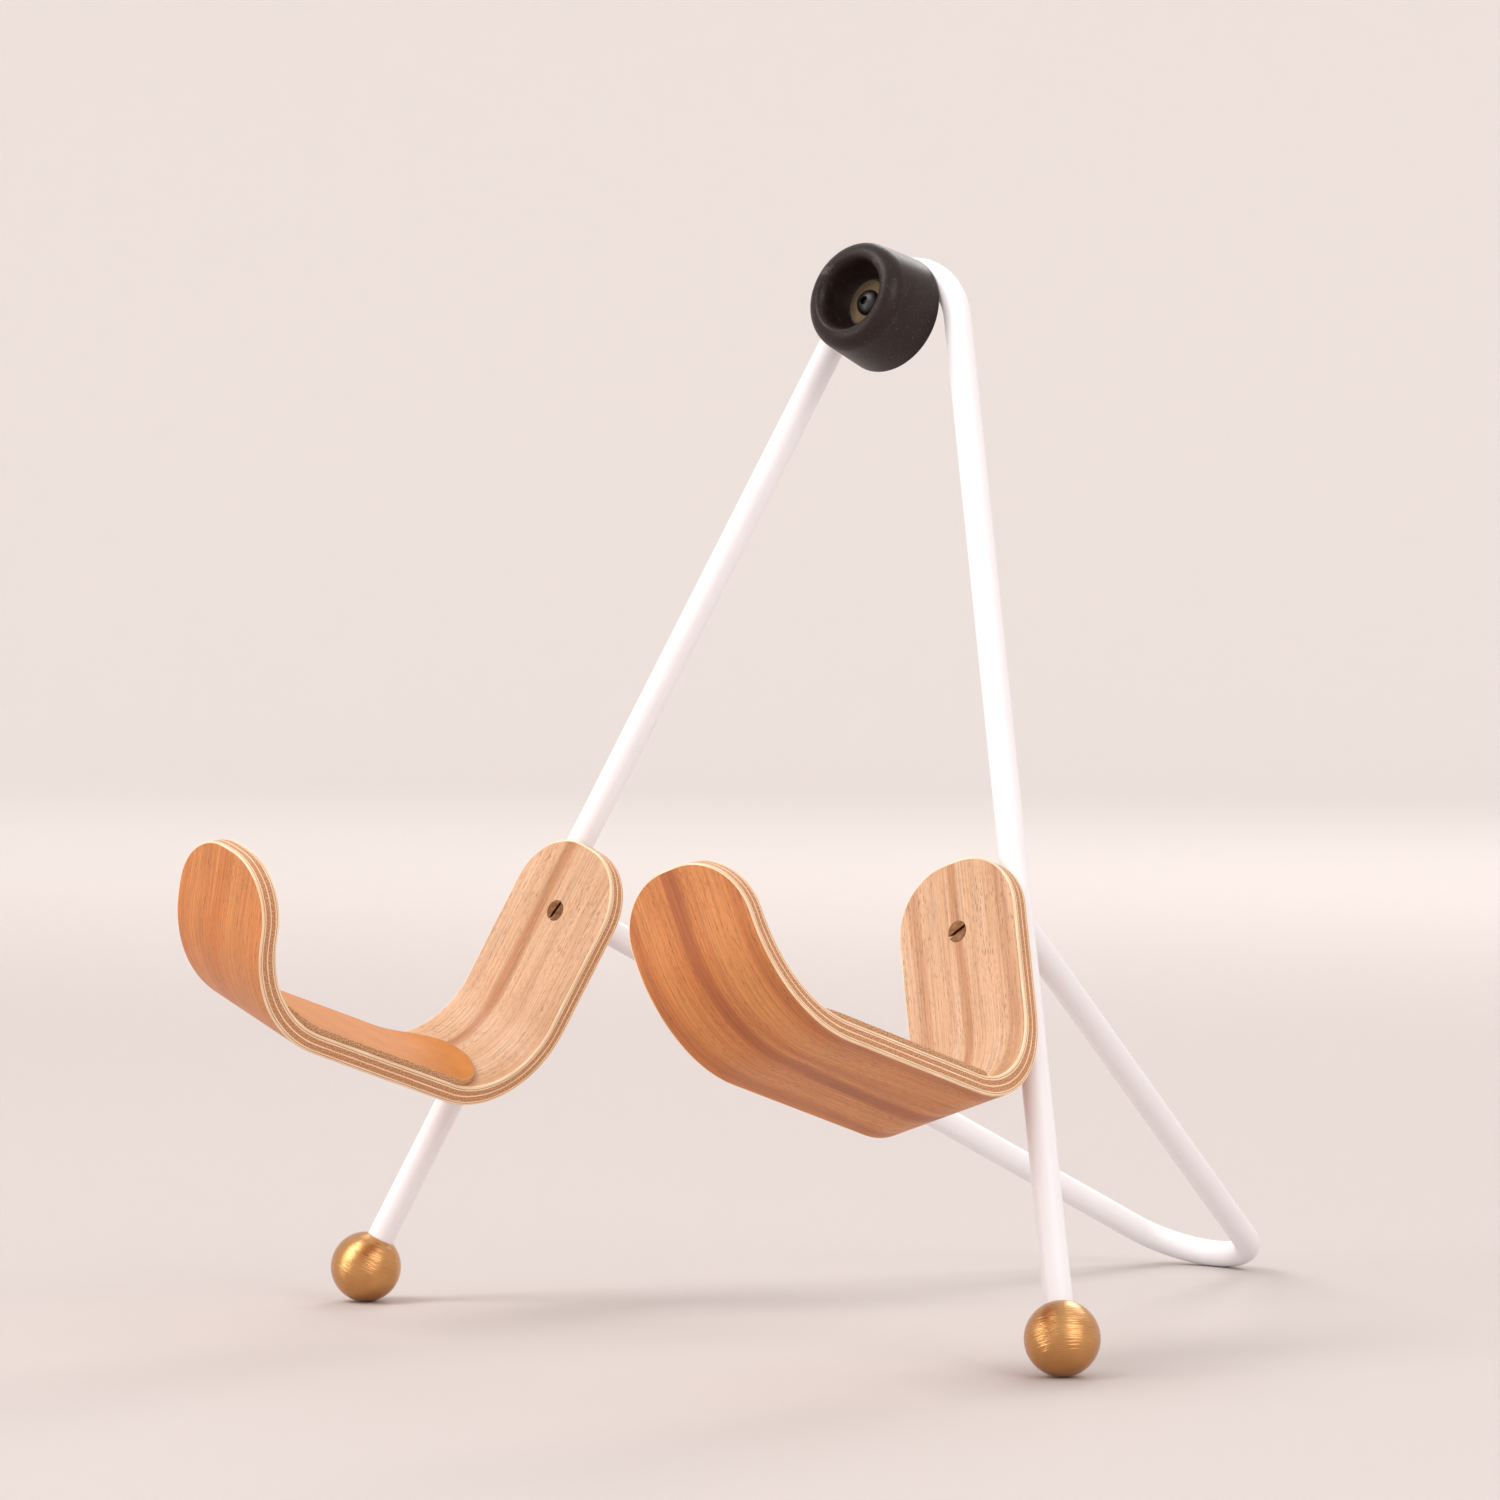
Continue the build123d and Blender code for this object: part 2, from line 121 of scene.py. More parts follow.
def skinRings(name, rings, place=None, around=False, caps=(True, True)):
    # joins rings of points, each with the same number, into a tube; around joins the last to the first
    count = len(rings[0])
    place = place or Matrix.Identity(4)
    verts = [place @ Vector(point) for ring in rings for point in ring]
    faces = []
    for i in range(len(rings) - (0 if around else 1)):
        here, there = i * count, (i + 1) % len(rings) * count
        for j in range(count):
            n = (j + 1) % count
            faces.append((here + j, here + n, there + n, there + j))
    if not around and caps[0]:
        faces.append(tuple(range(count))[::-1])
    if not around and caps[1]:
        faces.append(tuple(range((len(rings) - 1) * count, len(rings) * count)))
    mesh = bpy.data.meshes.new(name)
    mesh.from_pydata([tuple(v) for v in verts], [], faces)
    tidyMesh(mesh)
    return mesh


def tidyMesh(mesh, gap=1e-6):
    solid = bmesh.new()
    solid.from_mesh(mesh)
    bmesh.ops.remove_doubles(solid, verts=solid.verts, dist=gap)
    bmesh.ops.dissolve_degenerate(solid, edges=solid.edges, dist=gap / 10)
    bmesh.ops.recalc_face_normals(solid, faces=solid.faces)
    solid.to_mesh(mesh)
    solid.free()
    mesh.update()


def turnedRings(profile, segments):
    # one ring for each (radius, level)
    turns = [2 * math.pi * k / segments for k in range(segments)]
    rings = []
    for radius, level in profile:
        rings.append([(radius * math.cos(turn), radius * math.sin(turn), level) for turn in turns])
    return rings


def arcPoints(centreR, centreZ, radiusR, radiusZ, startDegrees, endDegrees, steps):
    turns = [math.radians(startDegrees + (endDegrees - startDegrees) * k / steps) for k in range(steps + 1)]
    return [(centreR + radiusR * math.cos(t), centreZ + radiusZ * math.sin(t)) for t in turns]


# material helpers
def startMaterial(name, roughness=0.5, metallic=0.0, **sockets):
    material = bpy.data.materials.new(name)
    material.use_nodes = True
    shader = material.node_tree.nodes["Principled BSDF"]
    shader.inputs["Roughness"].default_value = roughness
    shader.inputs["Metallic"].default_value = metallic
    for socketName, value in sockets.items():
        shader.inputs[socketName].default_value = value
    return material, material.node_tree, shader


def addNode(tree, kind, inputs=None, **settings):
    node = tree.nodes.new(kind)
    for key, value in settings.items():
        setattr(node, key, value)
    for key, value in (inputs or {}).items():
        if isinstance(value, bpy.types.NodeSocket):
            tree.links.new(value, node.inputs[key])
        else:
            node.inputs[key].default_value = value
    return node


def mapped(tree, source, scale, turn=(0, 0, 0)):
    return addNode(tree, "ShaderNodeMapping", {"Vector": source, "Scale": scale, "Rotation": turn}).outputs[0]


def noise(tree, vector, scale=1.0, detail=2.0, rough=0.5):
    inputs = {"Vector": vector, "Scale": scale, "Detail": detail, "Roughness": rough}
    return addNode(tree, "ShaderNodeTexNoise", inputs).outputs["Fac"]


def ramp(tree, factor, stops):
    node = addNode(tree, "ShaderNodeValToRGB", {"Fac": factor})
    while len(node.color_ramp.elements) < len(stops):
        node.color_ramp.elements.new(1.0)
    for element, (position, colour) in zip(node.color_ramp.elements, stops):
        element.position = position
        element.color = (colour, colour, colour, 1) if isinstance(colour, (int, float)) else (*colour, 1)
    return node.outputs["Color"]


def mixColour(tree, factor, first, second, blend="MIX"):
    node = addNode(tree, "ShaderNodeMix", data_type="RGBA", blend_type=blend)
    for index, value in ((0, factor), (6, first), (7, second)):
        if isinstance(value, bpy.types.NodeSocket):
            tree.links.new(value, node.inputs[index])
        else:
            node.inputs[index].default_value = (*value, 1) if isinstance(value, tuple) else value
    return node.outputs[2]


def calc(tree, operation, first, second=0.0, third=0.0):
    inputs = {0: first, 1: second, 2: third}
    return addNode(tree, "ShaderNodeMath", inputs, operation=operation).outputs[0]


def setColour(tree, shader, colour):
    tree.links.new(colour, shader.inputs["Base Color"])


def setRoughness(tree, shader, factor, low, high):
    span = addNode(tree, "ShaderNodeMapRange", {"Value": factor, "To Min": low, "To Max": high})
    tree.links.new(span.outputs[0], shader.inputs["Roughness"])


def setBump(tree, shader, layers):
    # layers are (height, strength, distance in metres), each laid over the one before
    normal = None
    for height, strength, distance in layers:
        inputs = {"Height": height, "Strength": strength, "Distance": distance}
        if normal:
            inputs["Normal"] = normal
        normal = addNode(tree, "ShaderNodeBump", inputs).outputs[0]
    tree.links.new(normal, shader.inputs["Normal"])


def objectCoords(tree):
    return addNode(tree, "ShaderNodeTexCoord").outputs["Object"]


# finishes
def powderCoat():
    material, tree, shader = startMaterial("powderCoat", roughness=0.34)
    place = objectCoords(tree)
    cloud = noise(tree, place, scale=38, detail=3)
    setColour(tree, shader, mixColour(tree, cloud, (0.88, 0.87, 0.89), (0.915, 0.905, 0.925)))
    peel = noise(tree, place, scale=900, detail=1.5)
    speck = noise(tree, place, scale=2600, detail=1)
    setRoughness(tree, shader, cloud, 0.28, 0.40)
    setBump(tree, shader, [(peel, 0.22, 0.00006), (speck, 0.12, 0.00002)])
    return material


def turnedBrass(name, axes):
    # turned on a lathe: fine rings about the z of its axes
    material, tree, shader = startMaterial(name, roughness=0.3, metallic=1.0)
    place = mapped(tree, objectCoords(tree), (1, 1, 1), axes.to_3x3().inverted().to_euler())
    tarnish = noise(tree, place, scale=110, detail=4, rough=0.6)
    setColour(tree, shader, mixColour(tree, tarnish, (0.53, 0.26, 0.095), (0.70, 0.385, 0.155)))
    rings = noise(tree, mapped(tree, place, (60, 60, 3800)), detail=2)
    setRoughness(tree, shader, tarnish, 0.16, 0.28)
    setBump(tree, shader, [(rings, 1.0, 0.0002)])
    return material


def agedBrass():
    material, tree, shader = startMaterial("agedBrass", roughness=0.42, metallic=1.0)
    place = objectCoords(tree)
    stain = noise(tree, place, scale=420, detail=4, rough=0.65)
    setColour(tree, shader, ramp(tree, stain, [(0.3, (0.115, 0.052, 0.025)), (0.7, (0.31, 0.15, 0.072))]))
    scratch = noise(tree, mapped(tree, place, (900, 7000, 900)), scale=1.0, detail=2)
    setRoughness(tree, shader, stain, 0.32, 0.55)
    setBump(tree, shader, [(scratch, 0.2, 0.00003)])
    return material


def rubber():
    material, tree, shader = startMaterial("bumperRubber", roughness=0.4, **{"Specular IOR Level": 0.25})
    place = objectCoords(tree)
    bloom = noise(tree, place, scale=60, detail=5, rough=0.6)
    base = ramp(tree, bloom, [(0.3, (0.012, 0.0055, 0.005)), (0.75, (0.024, 0.013, 0.0115))])
    dust = noise(tree, place, scale=1700, detail=0)
    specks = ramp(tree, dust, [(0.77, 0.0), (0.81, 0.6)])
    scuff = noise(tree, mapped(tree, place, (70, 500, 220)), detail=4, rough=0.7)
    spot = bumperAxes @ Vector((-11.5 * mm, 10.5 * mm, stand["bumperFront"]))
    away = addNode(tree, "ShaderNodeVectorMath", {0: place, 1: spot}, operation="DISTANCE").outputs["Value"]
    worn = addNode(tree, "ShaderNodeMapRange", {"Value": away, "From Min": 7 * mm, "From Max": 2 * mm})
    often = calc(tree, "MULTIPLY_ADD", worn.outputs[0], 0.16, scuff)
    rubbed = ramp(tree, often, [(0.62, 0.0), (0.76, 0.45)])
    marks = calc(tree, "MAXIMUM", specks, rubbed)
    setColour(tree, shader, mixColour(tree, marks, base, (0.15, 0.115, 0.11)))
    grain = noise(tree, place, scale=1500, detail=2)
    setRoughness(tree, shader, bloom, 0.30, 0.48)
    setBump(tree, shader, [(bloom, 0.25, 0.0006), (scuff, 0.12, 0.0001), (grain, 0.3, 0.00005)])
    return material


def plainMetal(name, dark, light, low, high):
    material, tree, shader = startMaterial(name, roughness=low, metallic=1.0)
    place = objectCoords(tree)
    patch = noise(tree, place, scale=520, detail=4, rough=0.6)
    setColour(tree, shader, mixColour(tree, patch, dark, light))
    setRoughness(tree, shader, patch, low, high)
    setBump(tree, shader, [(noise(tree, place, scale=3500, detail=1), 0.15, 0.00002)])
    return material


def fibre():
    material, tree, shader = startMaterial("vulcanisedFibre", roughness=0.6)
    place = objectCoords(tree)
    fleck = noise(tree, place, scale=900, detail=4, rough=0.7)
    setColour(tree, shader, mixColour(tree, fleck, (0.10, 0.045, 0.028), (0.20, 0.095, 0.055)))
    setRoughness(tree, shader, fleck, 0.5, 0.7)
    setBump(tree, shader, [(fleck, 0.2, 0.00004)])
    return material


coat = powderCoat()
footAxes = {name: axesAt(ballCentre[name], pivotAxes[name].col[0].to_3d(), frontNormal * -1, legUpOf(name))
            for name in sides}
brass = {name: turnedBrass(f"{name}TurnedBrass", footAxes[name]) for name in sides}
finishOf = {
    "frame_coat": coat,
    "foot_brass": brass["left"],
    "screw_brass": agedBrass(),
    "bumper_rubber": rubber(),
    "washer_bronze": plainMetal("dullBronze", (0.085, 0.06, 0.036), (0.17, 0.12, 0.07), 0.40, 0.58),
    "dark_steel": plainMetal("blackOxide", (0.035, 0.032, 0.032), (0.075, 0.07, 0.07), 0.35, 0.5),
    "steel": plainMetal("zincPlate", (0.5, 0.5, 0.51), (0.66, 0.66, 0.67), 0.25, 0.4),
    "fibre": fibre(),
}
for subpart in frame["record"]["subparts"]:
    finish = finishOf.get(subpart["material_slot"])
    if finish:
        node = frame["nodes"][subpart["node"]]
        for materialSlot in node.material_slots:
            materialSlot.material = finish
print("finishes on the packed parts")

# the two bent rods
rod = dict(bendSteps=48, roundSteps=64, endInBall=0.3 * mm, armShort=1.0 * mm)


def rodTree():
    tree = bpy.data.node_groups.new("bentRod", "GeometryNodeTree")
    face = tree.interface
    face.new_socket("Geometry", in_out="INPUT", socket_type="NodeSocketGeometry")
    face.new_socket("Geometry", in_out="OUTPUT", socket_type="NodeSocketGeometry")
    for socketName, kind in (
        ("Rod Radius", "NodeSocketFloat"),
        ("Bend Radius", "NodeSocketFloat"),
        ("Bend Steps", "NodeSocketInt"),
        ("Round Steps", "NodeSocketInt"),
        ("Finish", "NodeSocketMaterial"),
    ):
        face.new_socket(socketName, in_out="INPUT", socket_type=kind)
    given = addNode(tree, "NodeGroupInput").outputs
    bend = addNode(tree, "GeometryNodeFilletCurve", mode="POLY")
    for socketName, source in (("Curve", "Geometry"), ("Radius", "Bend Radius"), ("Count", "Bend Steps")):
        tree.links.new(given[source], bend.inputs[socketName])
    section = addNode(
        tree, "GeometryNodeCurvePrimitiveCircle",
        {"Resolution": given["Round Steps"], "Radius": given["Rod Radius"]}, mode="RADIUS",
    )
    sweep = addNode(
        tree, "GeometryNodeCurveToMesh",
        {"Curve": bend.outputs[0], "Profile Curve": section.outputs[0], "Fill Caps": True},
    )
    whole = addNode(tree, "GeometryNodeRealizeInstances", {"Geometry": sweep.outputs[0]})
    painted = addNode(
        tree, "GeometryNodeSetMaterial",
        {"Geometry": whole.outputs[0], "Material": given["Finish"]},
    )
    addNode(tree, "NodeGroupOutput", {"Geometry": painted.outputs[0]})
    return tree


def nodesToMesh(source, tree, values, name):
    # runs a node tree on an object and gives its result as a plain mesh
    modifier = source.modifiers.new("maker", "NODES")
    modifier.node_group = tree
    for item in tree.interface.items_tree:
        if item.in_out == "INPUT" and item.name in values:
            modifier[item.identifier] = values[item.name]
    bpy.context.view_layer.update()
    evaluated = source.evaluated_get(bpy.context.evaluated_depsgraph_get())
    mesh = bpy.data.meshes.new_from_object(evaluated)
    mesh.name = name
    source.modifiers.remove(modifier)
    return mesh


def bendRod(name, corners, bendRadius, node, tree):
    line = bpy.data.curves.new(name, "CURVE")
    line.dimensions = "3D"
    spline = line.splines.new("POLY")
    spline.points.add(len(corners) - 1)
    for point, corner in zip(spline.points, corners):
        point.co = (*corner, 1)
    guide = bpy.data.objects.new(f"{name}Guide", line)
    bpy.context.scene.collection.objects.link(guide)
    values = {
        "Rod Radius": stand["rodRadius"],
        "Bend Radius": bendRadius,
        "Bend Steps": rod["bendSteps"],
        "Round Steps": rod["roundSteps"],
        "Finish": coat,
    }
    mesh = nodesToMesh(guide, tree, values, name)
    bpy.data.objects.remove(guide)
    bpy.data.curves.remove(line)
    tidyMesh(mesh)
    mesh.materials.clear()
    piece = addPiece(name, mesh, [coat], "stand", [node], sharpAngle=35)
    return piece


bentRod = rodTree()
rodEnd = math.sqrt(ballRadius**2 - stand["rodRadius"] ** 2) - rod["endInBall"]
bendRod("frontRod", [legPoint("left", rodEnd), apex, legPoint("right", rodEnd)],
        stand["archRadius"], "front_frame", bentRod)

armTop = {name: legPoint(name, stand["armUpLeg"]) for name in sides}
armMiddle = (armTop["left"] + armTop["right"]) / 2
halfArms = armTop["right"].x
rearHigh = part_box("rear_leg")[1]
restPoint = Vector((0, rearHigh.y - stand["rodRadius"], stand["rodRadius"]))
rearRun = restPoint - armMiddle
bendCentreRun = rearRun.length - stand["rearBendRadius"]
rearHalfAngle = math.atan2(halfArms, bendCentreRun) - math.asin(
    stand["rearBendRadius"] / math.hypot(halfArms, bendCentreRun))
bendToApex = stand["rearBendRadius"] / math.sin(rearHalfAngle)
rearApex = armMiddle + rearRun.normalized() * (bendCentreRun + bendToApex)
armDirection = {name: (rearApex - armTop[name]).normalized() for name in sides}
armEnds = [armTop[name] + armDirection[name] * rod["armShort"] for name in sides]
bendRod("rearRod", [armEnds[0], rearApex, armEnds[1]], stand["rearBendRadius"], "rear_leg", bentRod)
print("bent rods")

# ground welds between the rods
weld = dict(
    leg=2.6 * mm,                # width of a weld along each metal that it joins
    sink=0.03 * mm,              # how far its edges go under the metal
    around=96,
    across=8,
    closing=0.9,                 # share of the way to the corner where a collar closes inside the metal
    tabBack=0.85 * mm,           # back of a cradle's tab, in front of the frame's plane
    tabHalf=9.0 * mm,            # half the tab's height
    tabSteps=60,
    tabOverlap=0.3 * mm,
    ripples=26,
    rippleShare=0.05,
    swell=0.35,
)


def armFillet(name):
    joint, along, legUp = armTop[name], armDirection[name], legUpOf(name)
    radius = stand["rodRadius"]
    side = along.cross(legUp).normalized()
    over = side.cross(along)
    rings = []
    for k in range(weld["around"]):
        turn = 2 * math.pi * k / weld["around"]
        out = side * math.cos(turn) + over * math.sin(turn)
        # where this line of the arm's surface comes out of the leg's surface
        alongFlat = along - legUp * along.dot(legUp)
        outFlat = (out - legUp * out.dot(legUp)) * radius
        a, b, c = alongFlat.length_squared, 2 * alongFlat.dot(outFlat), outFlat.length_squared - radius**2
        reach = (-b + math.sqrt(max(b * b - 4 * a * c, 0))) / (2 * a)
        corner = along * reach + out * radius
        legNormal = (corner - legUp * corner.dot(legUp)).normalized()
        away = (out - legNormal * out.dot(legNormal)).normalized()
        onArm = corner + along * weld["leg"] - out * weld["sink"]
        onLeg = corner + away * weld["leg"]
        height = legUp * onLeg.dot(legUp)
        onLeg = height + (onLeg - height).normalized() * (radius - weld["sink"])
        line = []
        for step in range(weld["across"] + 1):
            t = step / weld["across"]
            line.append(joint + onArm * (1 - t) ** 2 + corner * 2 * t * (1 - t) + onLeg * t * t)
        line.append(joint + corner * weld["closing"])
        rings.append(line)
    return skinRings(f"{name}Welds", rings, around=True)


def tabBead(name):
    # a rippled bead in the corner between the leg and the back of the cradle's tab
    side, radius, back, leg = sides[name], stand["rodRadius"], weld["tabBack"], weld["leg"]
    cornerTurn = math.asin(back / radius)
    rings = []
    for k in range(weld["tabSteps"] + 1):
        share = 2 * k / weld["tabSteps"] - 1
        size = leg * (1 - 0.75 * share**8) * (1 + weld["rippleShare"] * math.sin(weld["ripples"] * share))
        turn = cornerTurn - size / radius
        cornerX = stand["screwInset"] - radius * math.cos(cornerTurn)
        onTab = Vector((cornerX - size, 0, back + weld["sink"]))
        onLeg = Vector((stand["screwInset"] - (radius - weld["sink"]) * math.cos(turn), 0,
                        (radius - weld["sink"]) * math.sin(turn)))
        corner = Vector((cornerX + weld["tabOverlap"], 0, back + weld["sink"]))
        middle = (onTab + onLeg) / 2
        swell = middle + (middle - corner) * weld["swell"]
        line = []
        for step in range(weld["across"] + 1):
            t = step / weld["across"]
            line.append(onTab * (1 - t) ** 2 + swell * 2 * t * (1 - t) + onLeg * t * t)
        line.append(corner)
        rings.append([(side * point.x, weld["tabHalf"] * share, point.z) for point in line])
    return skinRings("tabBead", rings, pivotAxes[name])


def joinMeshes(first, second):
    both = bmesh.new()
    both.from_mesh(first)
    both.from_mesh(second)
    both.to_mesh(first)
    both.free()
    return first


for name in sides:
    welds = joinMeshes(armFillet(name), tabBead(name))
    piece = addPiece(f"{name}Welds", welds, [coat], "stand", [f"{name}_leg_weld"], sharpAngle=60)
print("welds")

# brass ball feet
ball = dict(
    segments=128,
    rings=64,
    neckChamfer=0.25 * mm,
    neckGap=1.5,                 # degrees from the last ring to the rod's end
)


def ballFoot(name):
    top = math.acos(stand["rodRadius"] / ballRadius)      # latitude where the rod's end sits
    profile = [(0.0, -ballRadius)]
    profile += arcPoints(0, 0, ballRadius, ballRadius, -89, math.degrees(top) - ball["neckGap"],
                         ball["rings"])
    flat = ballRadius * math.sin(top)
    profile.append((stand["rodRadius"] - ball["neckChamfer"], flat - ball["neckChamfer"] / 2))
    profile.append((0.0, flat - ball["neckChamfer"] / 2))
    rings = turnedRings(profile, ball["segments"])
    return skinRings(f"{name}BallFoot", rings, footAxes[name], caps=(False, False))


for name in sides:
    piece = addPiece(f"{name}BallFoot", ballFoot(name), [brass[name]], "stand", [f"{name}_foot_ball"],
                     sharpAngle=50)
print("ball feet")

# bent plywood cradles
ply = dict(
    thickness=7.0 * mm,
    width=49.2 * mm,
    cornerRadius=22.0 * mm,
    behind=6.1 * mm,             # from the frame's plane forward to the back plate
    rise=25.5 * mm,              # from the screw up to the top
    drop=36.5 * mm,              # and down to the rear bend
    rearBend=38.0 * mm,
    floor=68.5 * mm,
    frontBend=50.0 * mm,
    frontTurn=66.0,              # degrees
    lip=25.0 * mm,
    arris=0.6 * mm,
    crossSink=0.05 * mm,         # the cross veneers' end grain sands a little lower
    columns=20,
    cornerSteps=14,
    stretchSteps=(8, 36, 10, 30, 4),
    stationGap=0.4 * mm,         # no row comes nearer than this to a sheet's corners
    reliefStep=0.06 * mm,        # half the slope between two layers' levels
)
plyLayers = (                    # from the outer face in: kind and thickness in mm
    ("along", 0.7), ("glue", 0.2), ("along", 0.5), ("cross", 1.75), ("along", 0.45),
    ("cross", 1.75), ("along", 0.5), ("glue", 0.2), ("along", 0.95),
)
stretches = (                    # along the strip's middle: length, turn in radians, outer radius
    (ply["rise"] + ply["drop"], 0.0, 0.0),
    ((ply["rearBend"] - ply["thickness"] / 2) * math.pi / 2, math.pi / 2, ply["rearBend"]),
    (ply["floor"], 0.0, 0.0),
    ((ply["frontBend"] - ply["thickness"] / 2) * math.radians(ply["frontTurn"]),
     math.radians(ply["frontTurn"]), ply["frontBend"]),
    (ply["lip"], 0.0, 0.0),
)
stripLength = sum(length for length, turn, radius in stretches)


def stripPoint(station, sidewise, depth):
    # station along the strip's middle, sidewise from its centre line, depth in from its outer face
    forward, up, heading = ply["behind"], ply["rise"], -math.pi / 2
    for length, turn, radius in stretches:
        used = min(max(station, 0.0), length)
        if station < 0 or (length, turn, radius) == stretches[-1]:
            used = station
        if turn:
            swung = turn * used / length
            centreF, centreU = forward - math.sin(heading) * radius, up + math.cos(heading) * radius
            heading += swung
            forward, up = centreF + math.sin(heading) * radius, centreU - math.cos(heading) * radius
        else:
            forward, up = forward + math.cos(heading) * used, up + math.sin(heading) * used
        station -= used
        if station <= 0:
            break
    return Vector((sidewise, up + math.cos(heading) * depth, forward - math.sin(heading) * depth))


def stripStations(first, last):
    # even steps along each stretch between two stations
    stops, done = [first], 0.0
    for (length, turn, radius), steps in zip(stretches, ply["stretchSteps"]):
        stops += [done + length * k / steps for k in range(steps + 1)]
        done += length
    apart = ply["stationGap"]
    inside = sorted(set(round(stop, 7) for stop in stops if first + apart < stop < last - apart))
    return [first] + inside + [last]


def sheetRows(start, end, width, corner, inset, steps):
    # (station, half width) from end to end of a sheet with round corners
    near, small = [], corner - inset
    for k in range(steps + 1):
        turn = math.pi / 2 * k / steps
        near.append((start + corner - small * math.cos(turn), width / 2 - corner + small * math.sin(turn)))
    middle = stripStations(start + corner, end - corner)[1:-1]
    far = [(start + end - station, half) for station, half in reversed(near)]
    return near + [(station, width / 2 - inset) for station in middle] + far


def stripSolid(name, place, start, end, width, corner, levels, columns, steps, faceOffset, crown=None):
    # a sheet laid along the strip's path; levels are (depth, inset) from its outer face to its inner face
    verts, faces, slots, uvs = [], [], [], []

    def addVert(station, sidewise, depth):
        verts.append(place @ stripPoint(station, sidewise, depth))
        return len(verts) - 1

    def addFace(corners, slot, coords):
        faces.append(corners)
        slots.append(slot)
        uvs.extend(coords)

    for slot, (depth, inset) in ((0, levels[0]), (1, levels[-1])):
        rows = sheetRows(start, end, width, corner, inset, steps)
        grid, spots = [], []
        for station, half in rows:
            across = [half * (2 * k / columns - 1) for k in range(columns + 1)]
            depths = [depth + (crown(station, w) if crown and slot else 0.0) for w in across]
            grid.append([addVert(station, w, d) for w, d in zip(across, depths)])
            spots.append([(station + faceOffset[slot], w) for w in across])
        for i in range(len(rows) - 1):
            for j in range(columns):
                ring = [(i, j), (i, j + 1), (i + 1, j + 1), (i + 1, j)]
                ring = ring if slot else ring[::-1]
                addFace([grid[a][b] for a, b in ring], slot, [spots[a][b] for a, b in ring])
    loops = []
    for depth, inset in levels:
        rows = sheetRows(start, end, width, corner, inset, steps)
        first, last = rows[0], rows[-1]
        edge = [(first[0], first[1] * (2 * k / columns - 1)) for k in range(columns)]
        edge += [(station, half) for station, half in rows[:-1]]
        edge += [(last[0], -last[1] * (2 * k / columns - 1)) for k in range(columns)]
        edge += [(station, -half) for station, half in reversed(rows[1:])]
        loops.append([(s, w, depth + (crown(s, w) if crown and (depth, inset) == levels[-1] else 0.0))
                      for s, w in edge])
    count = len(loops[0])
    run = [0.0]
    for k in range(count):
        a, b = loops[0][k], loops[0][(k + 1) % count]
        run.append(run[-1] + math.hypot(a[0] - b[0], a[1] - b[1]))
    rings = [[addVert(*spot) for spot in loop] for loop in loops]
    for i in range(len(rings) - 1):
        for k in range(count):
            n = (k + 1) % count
            low, high = levels[i][0], levels[i + 1][0]
            addFace([rings[i][k], rings[i][n], rings[i + 1][n], rings[i + 1][k]], 2,
                    [(run[k], low), (run[k + 1], low), (run[k + 1], high), (run[k], high)])
    mesh = bpy.data.meshes.new(name)
    mesh.from_pydata([tuple(v) for v in verts], [], faces)
    mesh.polygons.foreach_set("material_index", slots)
    layer = mesh.uv_layers.new(name="sheet")
    layer.data.foreach_set("uv", [value for pair in uvs for value in pair])
    tidyMesh(mesh)
    return mesh


def plyLevels():
    arris, thick = ply["arris"], ply["thickness"]

    def insetAt(depth):
        near = min(depth, thick - depth)
        return arris - math.sqrt(arris**2 - (arris - near) ** 2) if near < arris else 0.0

    depths = [arris * (1 - math.cos(math.radians(a))) for a in (0, 20, 40, 60, 75)]
    levels = [(d, insetAt(d)) for d in depths]
    line, step = 0.0, ply["reliefStep"]
    for kind, layer in plyLayers:
        if kind == "cross":
            start, end = line + step, line + layer * mm - step
            sink = ply["crossSink"]
            levels += [(line - step, 0.0), (start, sink), (end, sink), (end + 2 * step, 0.0)]
        line += layer * mm
    levels += [(thick - d, insetAt(d)) for d in reversed(depths)]
    return levels


# dark streaks of each face: centre and half width as shares of the strip's width, and strength
streaks = {
    "leftOuter": ((0.30, 0.05, 0.2), (0.72, 0.10, 0.25)),
    "leftInner": ((0.35, 0.06, 0.9), (0.60, 0.03, 0.15), (0.86, 0.04, 0.2)),
    "rightOuter": ((0.10, 0.05, 0.5), (0.47, 0.06, 0.95), (0.60, 0.03, 0.3), (0.93, 0.04, 0.5)),
    "rightInner": ((0.15, 0.05, 0.6), (0.52, 0.04, 0.8), (0.88, 0.05, 0.6)),
}
veneer = dict(
    outer=((0.71, 0.30, 0.10), (0.61, 0.205, 0.058), (0.44, 0.13, 0.042)),   # pale, warm and streaked wood; darker and more orange than the inner face, partly the wood and partly painted warm bounce light and painted shade from below
    inner=((0.72, 0.465, 0.295), (0.62, 0.35, 0.19), (0.48, 0.22, 0.10)),
    poreDepth=0.75,              # how far a pore goes to the darkest wood
    pore=(0.24, 0.085, 0.032),
)


def sheetCoords(tree):
    # millimetres along the sheet, then across it or in from its outer face
    return mapped(tree, addNode(tree, "ShaderNodeUVMap", uv_map="sheet").outputs[0], (1000, 1000, 1000))


